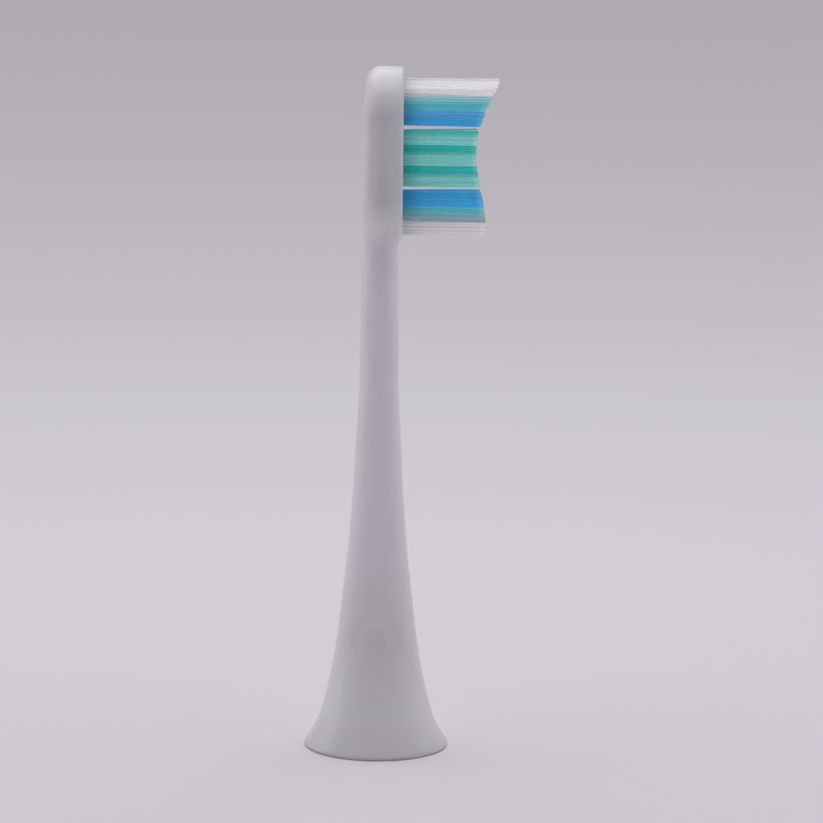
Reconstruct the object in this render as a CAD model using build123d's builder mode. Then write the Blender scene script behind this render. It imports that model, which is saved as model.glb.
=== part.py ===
"""Replacement brush head of a sonic electric toothbrush, standing on its flared base.

+Z runs up the drive shaft's axis, the origin is the middle of the base rim, the bristles face +X.
One moulded body carries the bristle tufts; a plug with a spring clip in its base grips the shaft.
"""

import os
from math import cos, pi, sin, sqrt

from build123d import *

# Brush plate, from the back of the head to the face that the bristles leave
head_height = 77.0
plate_length = 19.6
plate_width = 11.2
plate_front = 2.5
plate_thickness = 2.0
plate_edge_round = 0.4
head_back = -1.95
core_front = 1.7
core_back_round = 1.6
core_front_round = 1.1
toe_slope_length = 5.0
toe_slope_depth = 0.6
shoulder_radius = 4.0
stem_width = 4.1
stem_length = 4.0

# Neck sections: where each lies, its depth along X and width along Y
# The shares divide the run from the arch's peak to the heel of the plate
root_rise, root_depth, root_width = 3.6, 3.2, 4.3
throat_drop, throat_depth, throat_width = 0.4, 3.9, 4.9
upper_share, upper_depth, upper_width = 0.816, 4.38, 5.0
waist_share, waist_depth, waist_width = 0.616, 4.46, 5.0
shank_share, shank_depth, shank_width = 0.416, 5.24, 5.35
taper_share, taper_depth, taper_width = 0.217, 6.18, 6.0
arch_peak, arch_depth, arch_width = 17.3, 7.94, 7.46
calf_height, calf_depth, calf_width = 10.5, 9.7, 8.8
knee_height, knee_depth, knee_width = 5.0, 12.08, 9.0
foot_depth, foot_width = 14.2, 9.4

# Skirt, a flared collar whose upper edge rises to an arch on each flank
base_radius = 8.2
rim_height = 0.3
rim_round = 0.15
flare_height = 3.6
flare_lip = 0.083
skirt_inset = 0.16
arch_peak_round = 1.8
arch_edge_round = 0.5

# Drive plug inside the base, and the hollow that it sits in
recess_depth = 2.4
rim_wall = 1.2
recess_ledge = 0.85
plug_clearance = 0.05
flange_radius = 4.9
flange_thickness = 1.3
barrel_radius = 3.1
barrel_length = 10.0
barrel_key = 2.75
shaft_radius = 2.0
shaft_tip_radius = 1.8
shaft_tip_flat = 1.35
shaft_clearance = 0.03
guide_length = 7.0
guide_chamfer = 0.3
tip_pocket_length = 5.0

# Leaf spring that presses on the flat of the shaft
clip_thickness = 0.25
clip_width = 2.1
clip_length = 4.4
clip_bump_height = 1.8
clip_preload = 0.05
clip_clearance = 0.1

# Bristle tufts, each a folded bundle held in its hole by a metal anchor
tuft_radius = 0.75
tuft_clearance = 0.02
tuft_seat = 3.0
toe_margin = 1.31
heel_margin = 1.06
side_margin = 0.75
outer_inset = 0.35
green_spread = 1.42
band_spread = 1.33
toe_bow = 0.35
toe_reach = 12.95
toe_teal_reach = 11.75
toe_blue_reach = 11.1
dip_reach = 10.45
heel_blue_reach = 11.2
heel_reach = 11.55
anchor_bite = 0.1
anchor_thickness = 0.25
anchor_height = 1.2
anchor_fold = 0.4

# Sizes that follow from those above
plate_heel = head_height - plate_length
plate_middle = head_height - plate_length / 2
neck_run = plate_heel - arch_peak
core_thickness = core_front - head_back
flare_depth = foot_depth + (knee_depth - foot_depth) * flare_height / knee_height
flare_radius = flare_depth / 2 + flare_lip
arch_foot = flare_radius + skirt_inset / 2
flange_top = recess_depth + flange_thickness
barrel_top = flange_top + barrel_length
guide_bore = shaft_radius + shaft_clearance
tip_bore = shaft_tip_radius + shaft_clearance
guide_top = recess_depth + guide_length
clip_seat = sqrt(barrel_radius**2 - (clip_width / 2) ** 2) - clip_thickness - plug_clearance
clip_reach = shaft_tip_flat - clip_preload
clip_middle = barrel_top - clip_clearance - clip_length / 2
seat_floor = plate_front - tuft_seat
seat_radius = tuft_radius + tuft_clearance
anchor_floor = seat_floor + anchor_fold
anchor_length = 2 * (seat_radius + anchor_bite)
neck_sections = [
    (0, foot_depth, foot_width),
    (knee_height, knee_depth, knee_width),
    (calf_height, calf_depth, calf_width),
    (arch_peak, arch_depth, arch_width),
    (arch_peak + taper_share * neck_run, taper_depth, taper_width),
    (arch_peak + shank_share * neck_run, shank_depth, shank_width),
    (arch_peak + waist_share * neck_run, waist_depth, waist_width),
    (arch_peak + upper_share * neck_run, upper_depth, upper_width),
    (plate_heel - throat_drop, throat_depth, throat_width),
    (plate_heel + root_rise, root_depth, root_width),
]

# Bristle field: four close staggered rows, a wider step on each side of the green block, two green steps
toe_white = head_height - toe_margin - tuft_radius - toe_bow
heel_white = plate_heel + heel_margin + tuft_radius
row_pitch = (toe_white - heel_white) / (4 + 2 * band_spread + 2 * green_spread)
green_pitch = green_spread * row_pitch
toe_teal = toe_white - row_pitch
toe_blue = toe_white - 2 * row_pitch
heel_blue = heel_white + 2 * row_pitch
green_middle = (toe_blue + heel_blue) / 2
edge_column = plate_width / 2 - side_margin - tuft_radius
column_pitch = edge_column / 2
outer_column = edge_column - outer_inset


def green_places():
    """Places of the green tufts: three columns of three with two staggered pairs between them."""
    places = [(0, green_middle + step * green_pitch) for step in (1, 0, -1)]
    for side in (-1, 1):
        places += [(side * outer_column, green_middle + step * green_pitch) for step in (1, 0, -1)]
        places += [(side * outer_column / 2, green_middle + step * green_pitch) for step in (0.5, -0.5)]
    return places


def row_places(count, height, bow=0):
    """Places of one row across the plate, its middle tuft raised by the bow."""
    middle = (count - 1) / 2
    return [((n - middle) * column_pitch, height + (bow if n == middle else 0)) for n in range(count)]


tuft_rows = {
    "toe_white": row_places(3, toe_white, toe_bow),
    "toe_teal": row_places(4, toe_teal),
    "toe_blue": row_places(5, toe_blue),
    "green": green_places(),
    "heel_blue": row_places(5, heel_blue),
    "heel_teal": row_places(4, heel_white + row_pitch),
    "heel_white": row_places(3, heel_white),
}
tuft_places = [place for places in tuft_rows.values() for place in places]


def oval(depth, width, points=12):
    """Closed curve of the neck's section, drawn in the open sketch."""
    turns = [2 * pi * (n + 0.5) / points for n in range(points)]
    with BuildLine() as outline:
        Spline([(depth / 2 * cos(t), width / 2 * sin(t)) for t in turns], periodic=True)
    make_face(outline.edges())


def keyed_round(radius, flat, side):
    """Disc with one flat at that distance from its middle, on the +X or -X side."""
    Circle(radius)
    with Locations((side * (flat + radius), 0)):
        Rectangle(2 * radius, 4 * radius, mode=Mode.SUBTRACT)


os.makedirs("parts", exist_ok=True)

# Skirt form: the flare turned about the shaft, cut to the arch seen from the side
with BuildPart() as skirt_form:
    with BuildSketch(Plane.XZ):
        with BuildLine():
            flare = Spline(
                (base_radius, rim_height),
                (flare_radius, flare_height),
                (knee_depth / 2 - skirt_inset, knee_height),
                (calf_depth / 2 - skirt_inset, calf_height),
                (arch_depth / 2 - skirt_inset, arch_peak),
            )
            Polyline(flare @ 1, (0, arch_peak), (0, 0), (base_radius, 0), flare @ 0)
        make_face()
    revolve(axis=Axis.Z)
    fillet(skirt_form.edges().group_by(Axis.Z)[0], rim_round)
    with BuildSketch(Plane.XZ) as arch:
        Polygon((-arch_foot, flare_height), (arch_foot, flare_height), (0, arch_peak), align=None)
        fillet(arch.vertices().sort_by(Axis.Y)[-1], arch_peak_round)
        with Locations((0, flare_height / 2)):
            Rectangle(3 * base_radius, flare_height)
    extrude(amount=2 * base_radius, both=True, mode=Mode.INTERSECT)
    arch_edges = skirt_form.edges().filter_by_position(Axis.Z, flare_height, arch_peak, (False, True))
    fillet(arch_edges.filter_by(Axis.Y, reverse=True), arch_edge_round)

# Head form: a lollipop with a soft back, and the flat plate that stands proud of it in front
with BuildPart() as head_form:
    with BuildSketch(Plane.YZ.offset(head_back)) as lollipop:
        with Locations((0, plate_middle)):
            SlotOverall(plate_length, plate_width, rotation=90)
        with Locations((0, plate_heel - stem_length)):
            Rectangle(stem_width, plate_length / 2, align=(Align.CENTER, Align.MIN))
        fillet(lollipop.vertices().group_by(Axis.Y)[1], shoulder_radius)
    extrude(amount=core_thickness)
    with BuildSketch(Plane.XZ):
        with BuildLine():
            slope = ThreePointArc(
                (head_back, head_height - toe_slope_length),
                (head_back + toe_slope_depth / 4, head_height - toe_slope_length / 2),
                (head_back + toe_slope_depth, head_height),
            )
            Polyline(slope @ 1, (head_back, head_height), slope @ 0)
        make_face()
    extrude(amount=plate_width, both=True, mode=Mode.SUBTRACT)
    back_zone = (2 * head_back, head_back + toe_slope_depth)
    back_edges = head_form.edges().filter_by_position(Axis.X, *back_zone)
    fillet(back_edges.filter_by(Axis.Y, reverse=True), core_back_round)
    front_edges = head_form.edges().group_by(Axis.X)[-1]
    fillet(front_edges.filter_by(Axis.Y, reverse=True), core_front_round)
    with BuildSketch(Plane.YZ.offset(plate_front - plate_thickness)):
        with Locations((0, plate_middle)):
            SlotOverall(plate_length, plate_width, rotation=90)
    extrude(amount=plate_thickness)
    fillet(head_form.edges().group_by(Axis.X)[-1], plate_edge_round)

# Body: neck, skirt and head in one moulding, hollow for the plug and drilled for the tufts
with BuildPart() as brush_body:
    for height, depth, width in neck_sections:
        with BuildSketch(Plane.XY.offset(height)):
            oval(depth, width)
    loft()
    add(skirt_form)
    add(head_form)
    with BuildSketch(Plane.XZ):
        with BuildLine():
            Polyline(
                (0, 0),
                (base_radius - rim_wall, 0),
                (flange_radius + plug_clearance + recess_ledge, recess_depth),
                (flange_radius + plug_clearance, recess_depth),
                (flange_radius + plug_clearance, flange_top),
                (0, flange_top),
                close=True,
            )
        make_face()
    revolve(axis=Axis.Z, mode=Mode.SUBTRACT)
    with BuildSketch(Plane.XY.offset(flange_top)):
        keyed_round(barrel_radius + plug_clearance, barrel_key + plug_clearance, -1)
    extrude(amount=barrel_length + plug_clearance, mode=Mode.SUBTRACT)
    with BuildSketch(Plane.XY.offset(barrel_top)):
        Circle(tip_bore + plug_clearance)
    extrude(amount=tip_pocket_length, mode=Mode.SUBTRACT)
    with BuildSketch(Plane.YZ.offset(seat_floor)):
        with Locations(*tuft_places):
            Circle(seat_radius)
    extrude(amount=tuft_seat, mode=Mode.SUBTRACT)
    with BuildSketch(Plane.YZ.offset(anchor_floor)):
        with Locations(*tuft_places):
            Rectangle(anchor_length, anchor_thickness)
    extrude(amount=anchor_height, mode=Mode.SUBTRACT)
brush_body.part.label = "brush_body"
export_step(brush_body.part, "parts/brush_body.step")

# Drive plug: a flanged barrel whose round guide bore narrows to the shaft's flat
with BuildPart() as drive_plug:
    with BuildSketch(Plane.XY.offset(recess_depth)):
        Circle(flange_radius)
    extrude(amount=flange_thickness)
    with BuildSketch(Plane.XY.offset(flange_top)):
        keyed_round(barrel_radius, barrel_key, -1)
    extrude(amount=barrel_length)
    with BuildSketch(Plane.XY.offset(recess_depth)):
        Circle(guide_bore)
    extrude(amount=guide_length, mode=Mode.SUBTRACT)
    with BuildSketch(Plane.XY.offset(guide_top)):
        keyed_round(tip_bore, shaft_tip_flat + shaft_clearance, 1)
    extrude(until=Until.LAST, mode=Mode.SUBTRACT)
    mouth = drive_plug.edges().filter_by(GeomType.CIRCLE).group_by(Axis.Z)[0].sort_by(SortBy.RADIUS)[0]
    chamfer(mouth, guide_chamfer)
    with BuildSketch(Plane.YZ.offset(clip_seat)):
        with Locations((0, clip_middle)):
            Rectangle(clip_width + 2 * clip_clearance, clip_length + 2 * clip_clearance)
    extrude(amount=barrel_radius, mode=Mode.SUBTRACT)
    with BuildSketch(Plane.YZ):
        with Locations((0, clip_middle)):
            Rectangle(clip_width + 2 * clip_clearance, clip_bump_height + 2 * clip_thickness)
    extrude(amount=barrel_radius, mode=Mode.SUBTRACT)
drive_plug.part.label = "drive_plug"
export_step(drive_plug.part, "parts/drive_plug.step")

# Shaft clip: a leaf spring on the barrel whose bump reaches through its window to the shaft
with BuildPart() as shaft_clip:
    with BuildSketch(Plane.XZ):
        with BuildLine() as leaf:
            leaf_line = clip_seat + clip_thickness / 2
            Polyline(
                (leaf_line, clip_middle - clip_length / 2),
                (leaf_line, clip_middle - clip_bump_height / 2),
                (clip_reach + clip_thickness / 2, clip_middle),
                (leaf_line, clip_middle + clip_bump_height / 2),
                (leaf_line, clip_middle + clip_length / 2),
            )
        trace(line_width=clip_thickness)
    extrude(amount=clip_width / 2, both=True)
shaft_clip.part.label = "shaft_clip"
export_step(shaft_clip.part, "parts/shaft_clip.step")

# Anchors: one flat metal plate across each tuft, its ends bitten into the body
with BuildPart() as tuft_anchors:
    with BuildSketch(Plane.YZ.offset(anchor_floor)):
        with Locations(*tuft_places):
            Rectangle(anchor_length, anchor_thickness)
    extrude(amount=anchor_height)
tuft_anchors.part.label = "tuft_anchors"
export_step(tuft_anchors.part, "parts/tuft_anchors.step")

# Trim: the side view that all bristles are cut to, longest at the toe and dished in the middle
with BuildSketch(Plane.XZ) as trim:
    with BuildLine():
        tips = Spline(
            (toe_reach, toe_white + toe_bow),
            (toe_teal_reach, toe_teal),
            (toe_blue_reach, toe_blue),
            (dip_reach, green_middle + green_pitch / 2),
            (heel_blue_reach, heel_blue),
            (heel_reach, plate_heel),
        )
        Polyline(
            tips @ 1,
            (seat_floor, plate_heel),
            (seat_floor, head_height),
            (toe_reach, head_height),
            tips @ 0,
        )
    make_face()

# Tufts: each bundle fills its hole, straddles its anchor and ends at the trim
for row_name, places in tuft_rows.items():
    for number, place in enumerate(places, start=1):
        with BuildPart() as tuft:
            with BuildSketch(Plane.YZ.offset(seat_floor)):
                with Locations(place):
                    Circle(tuft_radius)
            extrude(amount=toe_reach - seat_floor)
            extrude(trim.sketch, amount=plate_width, both=True, mode=Mode.INTERSECT)
            with BuildSketch(Plane.YZ.offset(anchor_floor)):
                with Locations(place):
                    Rectangle(anchor_length, anchor_thickness)
            extrude(amount=anchor_height, mode=Mode.SUBTRACT)
        tuft.part.label = f"tuft_{row_name}_{number}"
        export_step(tuft.part, f"parts/tuft_{row_name}_{number}.step")
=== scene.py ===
import random
from math import cos, pi, radians, sin, sqrt

import bpy
from mathutils import Matrix, Quaternion, Vector


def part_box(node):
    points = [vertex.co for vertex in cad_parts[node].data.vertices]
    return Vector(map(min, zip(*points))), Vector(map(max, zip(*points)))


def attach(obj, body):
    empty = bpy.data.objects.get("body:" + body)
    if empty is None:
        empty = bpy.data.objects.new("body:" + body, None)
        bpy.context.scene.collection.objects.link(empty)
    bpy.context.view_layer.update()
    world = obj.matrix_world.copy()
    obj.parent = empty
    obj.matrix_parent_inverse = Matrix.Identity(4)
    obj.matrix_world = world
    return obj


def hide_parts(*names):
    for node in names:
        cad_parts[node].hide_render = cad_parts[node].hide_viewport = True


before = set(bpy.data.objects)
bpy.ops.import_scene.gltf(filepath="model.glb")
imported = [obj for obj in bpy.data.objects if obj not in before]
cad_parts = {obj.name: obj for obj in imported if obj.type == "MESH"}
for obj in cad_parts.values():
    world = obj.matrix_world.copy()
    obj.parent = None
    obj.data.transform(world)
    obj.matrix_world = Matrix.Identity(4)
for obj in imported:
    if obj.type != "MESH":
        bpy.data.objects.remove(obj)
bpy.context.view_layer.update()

# Brush body: plate, neck and skirt are one injection moulding in white polypropylene, with a soft
# gloss from the mould. The two mould halves leave a hair-fine seam down front and back. Next to
# the bristles the plate is painted bluish grey, as painted shade and bristle-coloured reflected
# light.
body_white = (0.79, 0.785, 0.80, 1)
body_shade = (0.775, 0.77, 0.787, 1)
# Painted shade with bristle-coloured reflected light, on the plate next to the bristles.
plate_painted_shade = (0.62, 0.68, 0.715, 1)
plate_painted_shade_depth = (0.0009, 0.0024)
plate_painted_shade_height = (0.0568, 0.0578)
body_roughness = (0.29, 0.35)
body_seam_width = 0.00007
body_seam_top = 0.056
body_skin_step = 0.0002
body_weld = 0.000001
body_shoulder = 0.0565
body_shoulder_reach = 0.004
body_shoulder_front = 0.0016
body_shoulder_passes = 120


def start_finish(name):
    """A new material, its node tree and its surface shader."""
    finish = bpy.data.materials.new(name)
    finish.use_nodes = True
    return finish, finish.node_tree, finish.node_tree.nodes["Principled BSDF"]


def add_node(tree, kind, inputs=None, **settings):
    """A node with its settings and the values of its sockets."""
    node = tree.nodes.new(kind)
    for setting, value in settings.items():
        setattr(node, setting, value)
    for socket, value in (inputs or {}).items():
        node.inputs[socket].default_value = value
    return node


def dress(node_name, finish):
    """Gives a solid of the frame its finish."""
    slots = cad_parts[node_name].data.materials
    slots.clear()
    slots.append(finish)


moulded_white, tree, surface = start_finish("moulded_white")
place = add_node(tree, "ShaderNodeTexCoord")
cloud = add_node(tree, "ShaderNodeTexNoise", {"Scale": 170.0, "Detail": 0.0})
tint = add_node(tree, "ShaderNodeMix", {6: body_shade, 7: body_white}, data_type="RGBA")
# Mask of the painted shade: the plate's front face and edge next to the bristles.
forward = add_node(
    tree,
    "ShaderNodeMapRange",
    {"From Min": plate_painted_shade_depth[0], "From Max": plate_painted_shade_depth[1]},
    interpolation_type="SMOOTHSTEP",
)
on_plate = add_node(
    tree,
    "ShaderNodeMapRange",
    {"From Min": plate_painted_shade_height[0], "From Max": plate_painted_shade_height[1]},
    interpolation_type="SMOOTHSTEP",
)
painted_shade_mask = add_node(tree, "ShaderNodeMath", operation="MULTIPLY")
painted_shade_mix = add_node(tree, "ShaderNodeMix", {7: plate_painted_shade}, data_type="RGBA")
gloss = add_node(
    tree,
    "ShaderNodeMapRange",
    {"From Min": 0.3, "From Max": 0.7, "To Min": body_roughness[0], "To Max": body_roughness[1]},
)
mould_texture = add_node(
    tree, "ShaderNodeTexNoise", {"Scale": 5200.0, "Detail": 2.0, "Roughness": 0.55}
)
axes = add_node(tree, "ShaderNodeSeparateXYZ")
off_seam = add_node(tree, "ShaderNodeMath", operation="ABSOLUTE")
seam = add_node(
    tree,
    "ShaderNodeMapRange",
    {"From Min": 0.0, "From Max": body_seam_width, "To Min": 1.0, "To Max": 0.0},
    interpolation_type="SMOOTHSTEP",
)
below_head = add_node(tree, "ShaderNodeMath", {1: body_seam_top}, operation="LESS_THAN")
seam_run = add_node(tree, "ShaderNodeMath", operation="MULTIPLY")
relief = add_node(tree, "ShaderNodeMath", {1: 0.05}, operation="MULTIPLY_ADD")
bump = add_node(tree, "ShaderNodeBump", {"Strength": 0.4, "Distance": 0.000004})
tree.links.new(place.outputs["Object"], cloud.inputs["Vector"])
tree.links.new(place.outputs["Object"], mould_texture.inputs["Vector"])
tree.links.new(place.outputs["Object"], axes.inputs["Vector"])
tree.links.new(cloud.outputs["Fac"], tint.inputs["Factor"])
tree.links.new(axes.outputs["X"], forward.inputs["Value"])
tree.links.new(axes.outputs["Z"], on_plate.inputs["Value"])
tree.links.new(forward.outputs["Result"], painted_shade_mask.inputs[0])
tree.links.new(on_plate.outputs["Result"], painted_shade_mask.inputs[1])
tree.links.new(painted_shade_mask.outputs["Value"], painted_shade_mix.inputs["Factor"])
tree.links.new(tint.outputs["Result"], painted_shade_mix.inputs[6])
tree.links.new(painted_shade_mix.outputs[2], surface.inputs["Base Color"])
tree.links.new(cloud.outputs["Fac"], gloss.inputs["Value"])
tree.links.new(gloss.outputs["Result"], surface.inputs["Roughness"])
tree.links.new(axes.outputs["Y"], off_seam.inputs[0])
tree.links.new(off_seam.outputs["Value"], seam.inputs["Value"])
tree.links.new(axes.outputs["Z"], below_head.inputs[0])
tree.links.new(seam.outputs["Result"], seam_run.inputs[0])
tree.links.new(below_head.outputs["Value"], seam_run.inputs[1])
tree.links.new(mould_texture.outputs["Fac"], relief.inputs[0])
tree.links.new(seam_run.outputs["Value"], relief.inputs[2])
tree.links.new(relief.outputs["Value"], bump.inputs["Height"])
tree.links.new(bump.outputs["Normal"], surface.inputs["Normal"])
surface.inputs["IOR"].default_value = 1.48
surface.inputs["Subsurface Weight"].default_value = 0.8
surface.inputs["Subsurface Radius"].default_value = (1.0, 0.98, 1.0)
surface.inputs["Subsurface Scale"].default_value = 0.0035

bpy.ops.object.select_all(action="DESELECT")
moulding = bpy.data.objects.new("moulded_body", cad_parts["brush_body"].data.copy())
bpy.context.scene.collection.objects.link(moulding)
moulding.select_set(True)
bpy.context.view_layer.objects.active = moulding
bpy.ops.object.mode_set(mode="EDIT")
bpy.ops.mesh.select_all(action="SELECT")
bpy.ops.mesh.remove_doubles(threshold=body_weld)
bpy.ops.object.mode_set(mode="OBJECT")
bpy.ops.mesh.customdata_custom_splitnormals_clear()
even_skin = moulding.modifiers.new("even_skin", "REMESH")
even_skin.mode = "VOXEL"
even_skin.voxel_size = body_skin_step
bpy.ops.object.modifier_apply(modifier="even_skin")
polish = moulding.modifiers.new("polish", "SMOOTH")
polish.factor = 0.5
polish.iterations = 1
bpy.ops.object.modifier_apply(modifier="polish")
soft = moulding.vertex_groups.new(name="soft_shoulder")
for spot in moulding.data.vertices:
    nearness = 1 - abs(spot.co.z - body_shoulder) / body_shoulder_reach
    if nearness > 0 and spot.co.x < body_shoulder_front:
        soft.add([spot.index], nearness * nearness * (3 - 2 * nearness), "REPLACE")
blend = moulding.modifiers.new("soft_shoulder", "SMOOTH")
blend.factor = 0.5
blend.iterations = body_shoulder_passes
blend.vertex_group = "soft_shoulder"
bpy.ops.object.modifier_apply(modifier="soft_shoulder")
bpy.ops.object.shade_smooth()
moulding.data.materials.clear()
moulding.data.materials.append(moulded_white)
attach(moulding, "root")
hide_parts("brush_body")

# Drive plug: the flanged socket that takes the handle's shaft, turned out of natural acetal and
# pressed into the base. Its faces keep the fine rings of the cutting tool.
plug_pale = (0.72, 0.73, 0.74, 1)
plug_shade = (0.64, 0.65, 0.665, 1)
turned_acetal, tree, surface = start_finish("turned_acetal")
place = add_node(tree, "ShaderNodeTexCoord")
rings = add_node(
    tree,
    "ShaderNodeTexWave",
    {"Scale": 900.0, "Distortion": 1.5, "Detail": 1.0},
    wave_type="RINGS",
    rings_direction="Z",
)
tint = add_node(tree, "ShaderNodeMix", {6: plug_shade, 7: plug_pale}, data_type="RGBA")
bump = add_node(tree, "ShaderNodeBump", {"Strength": 0.35, "Distance": 0.000008})
tree.links.new(place.outputs["Object"], rings.inputs["Vector"])
tree.links.new(rings.outputs["Fac"], tint.inputs["Factor"])
tree.links.new(tint.outputs["Result"], surface.inputs["Base Color"])
tree.links.new(rings.outputs["Fac"], bump.inputs["Height"])
tree.links.new(bump.outputs["Normal"], surface.inputs["Normal"])
surface.inputs["Roughness"].default_value = 0.42
dress("drive_plug", turned_acetal)

# Shaft clip and tuft anchors: strip metal, cut and folded cold. The clip is spring steel that
# snaps over the plug. One nickel silver anchor pins each tuft in its hole. Both show the grain
# of the rolling.
clip_bright = (0.66, 0.66, 0.67, 1)
clip_dark = (0.50, 0.50, 0.52, 1)
anchor_bright = (0.74, 0.70, 0.60, 1)
anchor_dark = (0.58, 0.53, 0.43, 1)


def rolled_strip(name, bright, dark, roughness):
    """Metal strip with a fine rolling grain along its length."""
    finish, tree, surface = start_finish(name)
    place = add_node(tree, "ShaderNodeTexCoord")
    along = add_node(tree, "ShaderNodeMapping", {"Scale": (400.0, 9000.0, 400.0)})
    grain = add_node(tree, "ShaderNodeTexNoise", {"Scale": 1.0, "Detail": 4.0, "Roughness": 0.6})
    tint = add_node(tree, "ShaderNodeMix", {6: dark, 7: bright}, data_type="RGBA")
    bump = add_node(tree, "ShaderNodeBump", {"Strength": 0.3, "Distance": 0.000004})
    tree.links.new(place.outputs["Object"], along.inputs["Vector"])
    tree.links.new(along.outputs["Vector"], grain.inputs["Vector"])
    tree.links.new(grain.outputs["Fac"], tint.inputs["Factor"])
    tree.links.new(tint.outputs["Result"], surface.inputs["Base Color"])
    tree.links.new(grain.outputs["Fac"], bump.inputs["Height"])
    tree.links.new(bump.outputs["Normal"], surface.inputs["Normal"])
    surface.inputs["Metallic"].default_value = 1.0
    surface.inputs["Roughness"].default_value = roughness
    return finish


dress("shaft_clip", rolled_strip("spring_strip", clip_bright, clip_dark, 0.3))
dress("tuft_anchors", rolled_strip("anchor_strip", anchor_bright, anchor_dark, 0.38))

# Bristle filament: a drawn nylon thread, end-rounded after the tufts are trimmed. Three are
# modelled, one straight and two with a slight set, and every bristle is a copy of one of them.
filament_radius = 0.0001
filament_length = 0.009
filament_sides = 6
filament_sets = ((0, 0, 0), (0.00004, 0.00001, -0.00003), (-0.00003, -0.00002, 0.00004))
filament_rounding = ((0.55, 0.82), (0.30, 0.50))


def model_filament(name, drifts):
    """A filament along +X from the origin, drawn in drifting steps, with a rounded end."""
    bpy.ops.object.select_all(action="DESELECT")
    bpy.ops.mesh.primitive_circle_add(
        vertices=filament_sides, radius=filament_radius, fill_type="NGON", rotation=(0, pi / 2, 0)
    )
    thread = bpy.context.object
    thread.name = name
    bpy.ops.object.transform_apply(location=True, rotation=True, scale=True)
    bpy.ops.object.mode_set(mode="EDIT")
    bpy.ops.mesh.select_all(action="SELECT")
    step = filament_length / len(drifts)
    for drift in drifts:
        bpy.ops.mesh.extrude_region_move(TRANSFORM_OT_translate={"value": (step, 0, drift)})
    end = Vector((filament_length, 0, sum(drifts)))
    for reach, share in filament_rounding:
        step = reach * filament_radius
        end.x += step
        bpy.ops.mesh.extrude_region_move(TRANSFORM_OT_translate={"value": (step, 0, 0)})
        bpy.ops.transform.resize(value=(1, share, share), center_override=end)
    bpy.ops.mesh.select_all(action="SELECT")
    bpy.ops.mesh.normals_make_consistent(inside=False)
    bpy.ops.object.mode_set(mode="OBJECT")
    bpy.ops.object.shade_smooth()
    along = thread.data.attributes.new("along", "FLOAT", "POINT")
    shares = [min(v.co.x / filament_length, 1.0) for v in thread.data.vertices]
    along.data.foreach_set("value", shares)
    thread.data.attributes.new("tone", "FLOAT", "POINT")
    thread.data.attributes.new("level", "FLOAT", "POINT")
    return thread


filament_models = []
for n, drifts in enumerate(filament_sets):
    filament_models.append(model_filament(f"filament_model_{n}", drifts))

# Bristle tufts: a bundle of nylon filaments, folded over its anchor and driven into its hole, so
# it leaves the plate as two half bundles that close up towards the trimmed ends. The dyes differ
# from row to row. In some rows one side of the tuft is painted darker as painted shade or paler
# as a painted highlight.
plate_face = 0.0025
tuft_clear = 0.003
tuft_count = 50
tuft_root = 0.0007
tuft_sink = 0.0011
tuft_part = 0.00006
tuft_spread = 1.10
tuft_wander = 0.00005
tuft_trim = 0.00003
root_squeeze_across = 0.97
root_squeeze_along = 0.93
stray_share = 0.03
stray_reach = 6
thread_tones = (0.91, 1.06)
# The first colour of each dye, at the thread's root, is darker as painted shade.
nylon_white = ((0.93, 0.93, 0.93, 1), (0.97, 0.97, 0.97, 1), (0.98, 0.98, 0.98, 1))
# White nylon painted darker for the heel tufts, as painted shade.
nylon_white_painted_shade = ((0.76, 0.76, 0.77, 1), (0.81, 0.81, 0.82, 1), (0.88, 0.88, 0.88, 1))
nylon_teal = ((0.11, 0.50, 0.58, 1), (0.17, 0.67, 0.74, 1), (0.36, 0.78, 0.81, 1))
nylon_blue = ((0.045, 0.37, 0.62, 1), (0.075, 0.52, 0.83, 1), (0.24, 0.62, 0.87, 1))
nylon_green = ((0.025, 0.50, 0.47, 1), (0.042, 0.65, 0.62, 1), (0.20, 0.74, 0.67, 1))
# Green nylon painted paler for the outer tufts, as a painted sheen.
nylon_green_painted_sheen = ((0.22, 0.61, 0.59, 1), (0.34, 0.77, 0.74, 1), (0.60, 0.85, 0.80, 1))
# One side of some tufts is painted: the lower side of the toe white and heel teal darker as painted
# shade, the upper side of the toe teal and blue paler as a painted highlight.
toe_white_lower_painted_shade = ((0.62, 0.62, 0.64, 1), 0.40, 0.0, 0.85)
toe_teal_upper_painted_highlight = ((0.60, 0.78, 0.79, 1), 0.40, 1.0, 0.90)
toe_blue_upper_painted_highlight = ((0.35, 0.62, 0.86, 1), 0.40, 1.0, 0.35)
# The upper side of the outer green tufts is painted deeper, as painted shade.
outer_green_upper_painted_shade = ((0.06, 0.62, 0.60, 1), 0.68, 0.92, 0.85)
heel_teal_lower_painted_shade = ((0.49, 0.56, 0.60, 1), 0.80, 0.0, 0.95)


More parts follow.
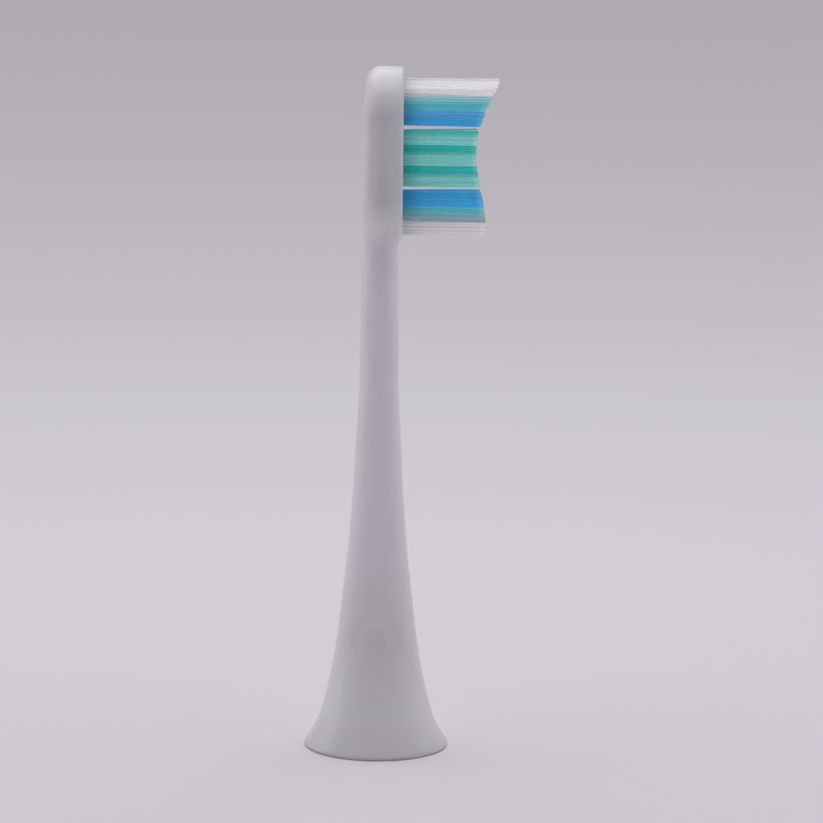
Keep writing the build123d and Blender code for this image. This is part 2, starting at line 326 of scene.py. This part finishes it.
def drawn_nylon(name, colours, side=None):
    """Glossy thread, deeper at its root as painted shade and paler at its rounded end, each a
    little apart in tone.

    The side is a colour painted onto the threads on one side of the tuft as painted shade or a
    painted highlight, the two levels between which it comes in, and its full share.
    """
    finish, tree, surface = start_finish(name)
    along = add_node(tree, "ShaderNodeAttribute", attribute_name="along")
    tone = add_node(tree, "ShaderNodeAttribute", attribute_name="tone")
    dye = add_node(tree, "ShaderNodeValToRGB")
    stops = dye.color_ramp.elements
    stops[0].position, stops[0].color = 0.05, colours[0]
    stops[1].position, stops[1].color = 1.0, colours[2]
    for spot in (0.35, 0.93):
        stops.new(spot).color = colours[1]
    lift = add_node(
        tree, "ShaderNodeMapRange", {"To Min": thread_tones[0], "To Max": thread_tones[1]}
    )
    depth = add_node(tree, "ShaderNodeHueSaturation")
    tree.links.new(along.outputs["Fac"], dye.inputs["Fac"])
    tree.links.new(tone.outputs["Fac"], lift.inputs["Value"])
    if side is None:
        tree.links.new(dye.outputs["Color"], depth.inputs["Color"])
    else:
        side_light_paint, start, full, share = side
        level = add_node(tree, "ShaderNodeAttribute", attribute_name="level")
        rise = add_node(
            tree, "ShaderNodeMapRange", {"From Min": start, "From Max": full, "To Max": share}
        )
        dye_and_side_light_paint = add_node(tree, "ShaderNodeMix", {7: side_light_paint}, data_type="RGBA")
        tree.links.new(level.outputs["Fac"], rise.inputs["Value"])
        tree.links.new(rise.outputs["Result"], dye_and_side_light_paint.inputs["Factor"])
        tree.links.new(dye.outputs["Color"], dye_and_side_light_paint.inputs[6])
        tree.links.new(dye_and_side_light_paint.outputs[2], depth.inputs["Color"])
    tree.links.new(lift.outputs["Result"], depth.inputs["Value"])
    tree.links.new(depth.outputs["Color"], surface.inputs["Base Color"])
    surface.inputs["Roughness"].default_value = 0.4
    surface.inputs["IOR"].default_value = 1.53
    through = add_node(tree, "ShaderNodeBsdfTranslucent")
    nylon = add_node(tree, "ShaderNodeMixShader", {"Fac": 0.5})
    tree.links.new(depth.outputs["Color"], through.inputs["Color"])
    tree.links.new(surface.outputs["BSDF"], nylon.inputs[1])
    tree.links.new(through.outputs["BSDF"], nylon.inputs[2])
    tree.links.new(nylon.outputs["Shader"], tree.nodes["Material Output"].inputs["Surface"])
    return finish


def lay_tuft(node_name, finish, chance):
    """The bundle that stands in one tuft's hole, cut to that tuft's own slant."""
    low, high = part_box(node_name)
    middle = (low + high) / 2
    spots = [v.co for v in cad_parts[node_name].data.vertices]
    ends = [co for co in spots if co.x > plate_face + tuft_clear]
    upper = max(ends, key=lambda co: co.z)
    lower = min(ends, key=lambda co: co.z)
    slant = (upper.x - lower.x) / (upper.z - lower.z)
    threads = []
    for n in range(tuft_count):
        reach = tuft_root * sqrt((n + 0.5) / tuft_count)
        turn = n * pi * (3 - sqrt(5)) + chance.uniform(-0.15, 0.15)
        across = Vector((0, reach * cos(turn), reach * sin(turn)))
        part = tuft_part if across.z > 0 else -tuft_part
        root = Vector((
            plate_face - tuft_sink,
            middle.y + root_squeeze_across * across.y,
            middle.z + root_squeeze_along * across.z + part,
        ))
        wander = stray_reach if chance.random() < stray_share else 1
        tip = middle + tuft_spread * across
        tip.y += wander * chance.gauss(0, tuft_wander)
        tip.z += wander * chance.gauss(0, tuft_wander)
        tip.x = lower.x + slant * (tip.z - lower.z) + chance.uniform(-1, 1) * tuft_trim
        model = chance.choice(filament_models)
        thread = model.copy()
        thread.data = model.data.copy()
        bpy.context.collection.objects.link(thread)
        run = tip - root
        turned = run.to_track_quat("X", "Z") @ Quaternion((1, 0, 0), chance.uniform(0, 2 * pi))
        thread.matrix_world = Matrix.LocRotScale(root, turned, (run.length / filament_length, 1, 1))
        marks = {"tone": chance.random(), "level": 0.5 + 0.5 * across.z / tuft_root}
        for mark, value in marks.items():
            values = [value] * len(thread.data.vertices)
            thread.data.attributes[mark].data.foreach_set("value", values)
        threads.append(thread)
    bpy.ops.object.select_all(action="DESELECT")
    for thread in threads:
        thread.select_set(True)
    bpy.context.view_layer.objects.active = threads[0]
    bpy.ops.object.transform_apply(location=True, rotation=True, scale=True)
    bpy.ops.object.join()
    bundle = bpy.context.object
    bundle.name = node_name.replace("tuft", "bristles")
    bundle.data.materials.clear()
    bundle.data.materials.append(finish)
    bundle.visible_shadow = False
    bundle.visible_diffuse = False
    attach(bundle, "root")
    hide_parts(node_name)


# Toe white, toe teal, heel teal and toe blue carry painted shade or a painted highlight on one
# side.
white_nylon = drawn_nylon("white_nylon", nylon_white, toe_white_lower_painted_shade)
# The heel white tufts take the darker copy of white nylon, painted shade.
heel_white_nylon_painted_shade = drawn_nylon("heel_white_nylon_painted_shade", nylon_white_painted_shade)
teal_nylon = drawn_nylon("teal_nylon", nylon_teal, toe_teal_upper_painted_highlight)
heel_teal_nylon = drawn_nylon("heel_teal_nylon", nylon_teal, heel_teal_lower_painted_shade)
blue_nylon = drawn_nylon("blue_nylon", nylon_blue, toe_blue_upper_painted_highlight)
heel_blue_nylon = drawn_nylon("heel_blue_nylon", nylon_blue)
green_nylon = drawn_nylon("green_nylon", nylon_green)
green_nylon_painted_sheen = drawn_nylon("green_nylon_painted_sheen", nylon_green_painted_sheen, outer_green_upper_painted_shade)
# The outer green tufts take the paler copy of the green dye, a painted sheen.
outer_green = (4, 5, 6, 9, 10, 11)
chance = random.Random(20)
for row, count, finish, slot in (
    ("toe_white", 3, white_nylon, "bristle_white"),
    ("toe_teal", 4, teal_nylon, "bristle_teal"),
    ("toe_blue", 5, blue_nylon, "bristle_blue"),
    ("green", 13, green_nylon, "bristle_green"),
    ("heel_blue", 5, heel_blue_nylon, "bristle_blue"),
    ("heel_teal", 4, heel_teal_nylon, "bristle_teal"),
    ("heel_white", 3, heel_white_nylon_painted_shade, "bristle_white"),
):
    for number in range(1, count + 1):
        outer = row == "green" and number in outer_green
        lay_tuft(f"tuft_{row}_{number}", green_nylon_painted_sheen if outer else finish, chance)
for model in filament_models:
    bpy.data.objects.remove(model)

# Studio floor: a sheet of pale lavender-grey paper, bent up all round into its own backdrop. It
# is matt near the object. Further out the paper glows with painted tones that darken outwards, a
# painted light falloff seen by the camera and in reflections, and behind the object this glow also
# lights it.
floor_drop = 0.00001
floor_sides = 128
floor_flat = 0.42
floor_rise = 0.55
floor_rise_steps = 24
floor_wall = 0.5
paper_near = (0.765, 0.727, 0.775, 1)
# Painted light: the glowing tones of the far paper, darker further out.
backdrop_glow_tones = (
    (0.10, (0.65, 0.617, 0.665, 1)),
    (0.33, (0.597, 0.571, 0.617, 1)),
    (0.52, (0.546, 0.515, 0.558, 1)),
    (0.76, (0.417, 0.392, 0.434, 1)),
)
bpy.ops.object.select_all(action="DESELECT")
bpy.ops.mesh.primitive_circle_add(
    vertices=floor_sides, radius=floor_flat, fill_type="NGON", location=(0, 0, -floor_drop)
)
paper = bpy.context.object
paper.name = "paper_sweep"
bpy.ops.object.transform_apply(location=True, rotation=True, scale=True)
bpy.ops.object.mode_set(mode="EDIT")
bpy.ops.mesh.select_mode(type="EDGE")
bpy.ops.mesh.select_all(action="DESELECT")
bpy.ops.mesh.select_non_manifold()
edge_radius, edge_height = floor_flat, 0.0
for n in range(1, floor_rise_steps + 1):
    turn = n / floor_rise_steps * pi / 2
    radius = floor_flat + floor_rise * sin(turn)
    height = floor_rise * (1 - cos(turn))
    bpy.ops.mesh.extrude_edges_move(TRANSFORM_OT_translate={"value": (0, 0, height - edge_height)})
    scale = radius / edge_radius
    bpy.ops.transform.resize(value=(scale, scale, 1), center_override=(0, 0, height))
    edge_radius, edge_height = radius, height
bpy.ops.mesh.extrude_edges_move(TRANSFORM_OT_translate={"value": (0, 0, floor_wall)})
bpy.ops.mesh.select_all(action="SELECT")
bpy.ops.mesh.normals_make_consistent(inside=True)
bpy.ops.object.mode_set(mode="OBJECT")
bpy.ops.object.shade_smooth()

paper_finish, tree, surface = start_finish("paper_finish")
place = add_node(tree, "ShaderNodeTexCoord")
flat_place = add_node(tree, "ShaderNodeVectorMath", {1: (1.0, 1.0, 0.0)}, operation="MULTIPLY")
away = add_node(tree, "ShaderNodeVectorMath", operation="LENGTH")
tones = add_node(tree, "ShaderNodeValToRGB")
stops = tones.color_ramp.elements
stops[0].position, stops[0].color = backdrop_glow_tones[0]
stops[1].position, stops[1].color = backdrop_glow_tones[-1]
for spot, tone in backdrop_glow_tones[1:-1]:
    stops.new(spot).color = tone
glow = add_node(tree, "ShaderNodeEmission")
far = add_node(
    tree,
    "ShaderNodeMapRange",
    {"From Min": 0.10, "From Max": 0.26},
    interpolation_type="SMOOTHSTEP",
)
ray = add_node(tree, "ShaderNodeLightPath")
seen = add_node(tree, "ShaderNodeMath", operation="MAXIMUM")
axes = add_node(tree, "ShaderNodeSeparateXYZ")
behind = add_node(
    tree,
    "ShaderNodeMapRange",
    {"From Min": -0.05, "From Max": 0.15},
    interpolation_type="SMOOTHSTEP",
)
lit = add_node(tree, "ShaderNodeMath", operation="MAXIMUM")
seen_far = add_node(tree, "ShaderNodeMath", operation="MULTIPLY")
both = add_node(tree, "ShaderNodeMixShader")
tree.links.new(place.outputs["Object"], flat_place.inputs[0])
tree.links.new(flat_place.outputs["Vector"], away.inputs[0])
tree.links.new(away.outputs["Value"], tones.inputs["Fac"])
tree.links.new(away.outputs["Value"], far.inputs["Value"])
tree.links.new(tones.outputs["Color"], glow.inputs["Color"])
tree.links.new(ray.outputs["Is Camera Ray"], seen.inputs[0])
tree.links.new(ray.outputs["Is Glossy Ray"], seen.inputs[1])
tree.links.new(place.outputs["Object"], axes.inputs["Vector"])
tree.links.new(axes.outputs["Y"], behind.inputs["Value"])
tree.links.new(seen.outputs["Value"], lit.inputs[0])
tree.links.new(behind.outputs["Result"], lit.inputs[1])
tree.links.new(lit.outputs["Value"], seen_far.inputs[0])
tree.links.new(far.outputs["Result"], seen_far.inputs[1])
tree.links.new(seen_far.outputs["Value"], both.inputs["Fac"])
tree.links.new(surface.outputs["BSDF"], both.inputs[1])
tree.links.new(glow.outputs["Emission"], both.inputs[2])
tree.links.new(both.outputs["Shader"], tree.nodes["Material Output"].inputs["Surface"])
surface.inputs["Base Color"].default_value = paper_near
surface.inputs["Roughness"].default_value = 0.85
surface.inputs["Specular IOR Level"].default_value = 0.1
paper.data.materials.append(paper_finish)

# Light: one wide softbox overhead, set a little behind the object, a weak panel on each side to
# catch the edges of the neck, and dim surroundings.
side_panel_place = (0.44, 0.12, 0.12)
room_colour = (0.93, 0.92, 1.0, 1)
room_strength = 0.17
softbox = bpy.data.lights.new("softbox", "AREA")
softbox.shape = "RECTANGLE"
softbox.size = 0.60
softbox.size_y = 0.62
softbox.energy = 1.94
softbox_stand = bpy.data.objects.new("softbox", softbox)
softbox_stand.location = (0, 0.09, 0.47)
bpy.context.scene.collection.objects.link(softbox_stand)
for side, strength in ((-1, 0.24), (1, 0.13)):
    panel = bpy.data.lights.new("side_panel", "AREA")
    panel.shape = "RECTANGLE"
    panel.size = 0.35
    panel.size_y = 0.30
    panel.energy = strength
    panel_stand = bpy.data.objects.new("side_panel", panel)
    across, back, up = side_panel_place
    facing = Matrix.Rotation(side * radians(90), 4, "Y")
    panel_stand.matrix_world = Matrix.Translation((side * across, back, up)) @ facing
    panel_stand.visible_camera = False
    bpy.context.scene.collection.objects.link(panel_stand)
room = bpy.data.worlds.new("room")
room.use_nodes = True
room.node_tree.nodes["Background"].inputs["Color"].default_value = room_colour
room.node_tree.nodes["Background"].inputs["Strength"].default_value = room_strength
bpy.context.scene.world = room

# Camera: a long lens at the height of the head's top, looking a little down at the object's side.
# The image is 823 pixels wide, and the lens is set by its reach in those pixels.
camera_place = (0.0037, -0.300, 0.076)
camera_pitch = radians(82.85)
camera_roll = radians(0.6)
image_width = 823
lens_reach = 2680
camera = bpy.data.cameras.new("camera")
camera.sensor_width = 36.0
camera.lens = lens_reach / image_width * 36
camera.clip_start = 0.01
camera_stand = bpy.data.objects.new("camera", camera)
camera_stand.matrix_world = (
    Matrix.Translation(camera_place)
    @ Matrix.Rotation(camera_pitch, 4, "X")
    @ Matrix.Rotation(camera_roll, 4, "Z")
)
bpy.context.scene.collection.objects.link(camera_stand)
bpy.context.scene.camera = camera_stand
bpy.context.scene.view_settings.view_transform = "Standard"
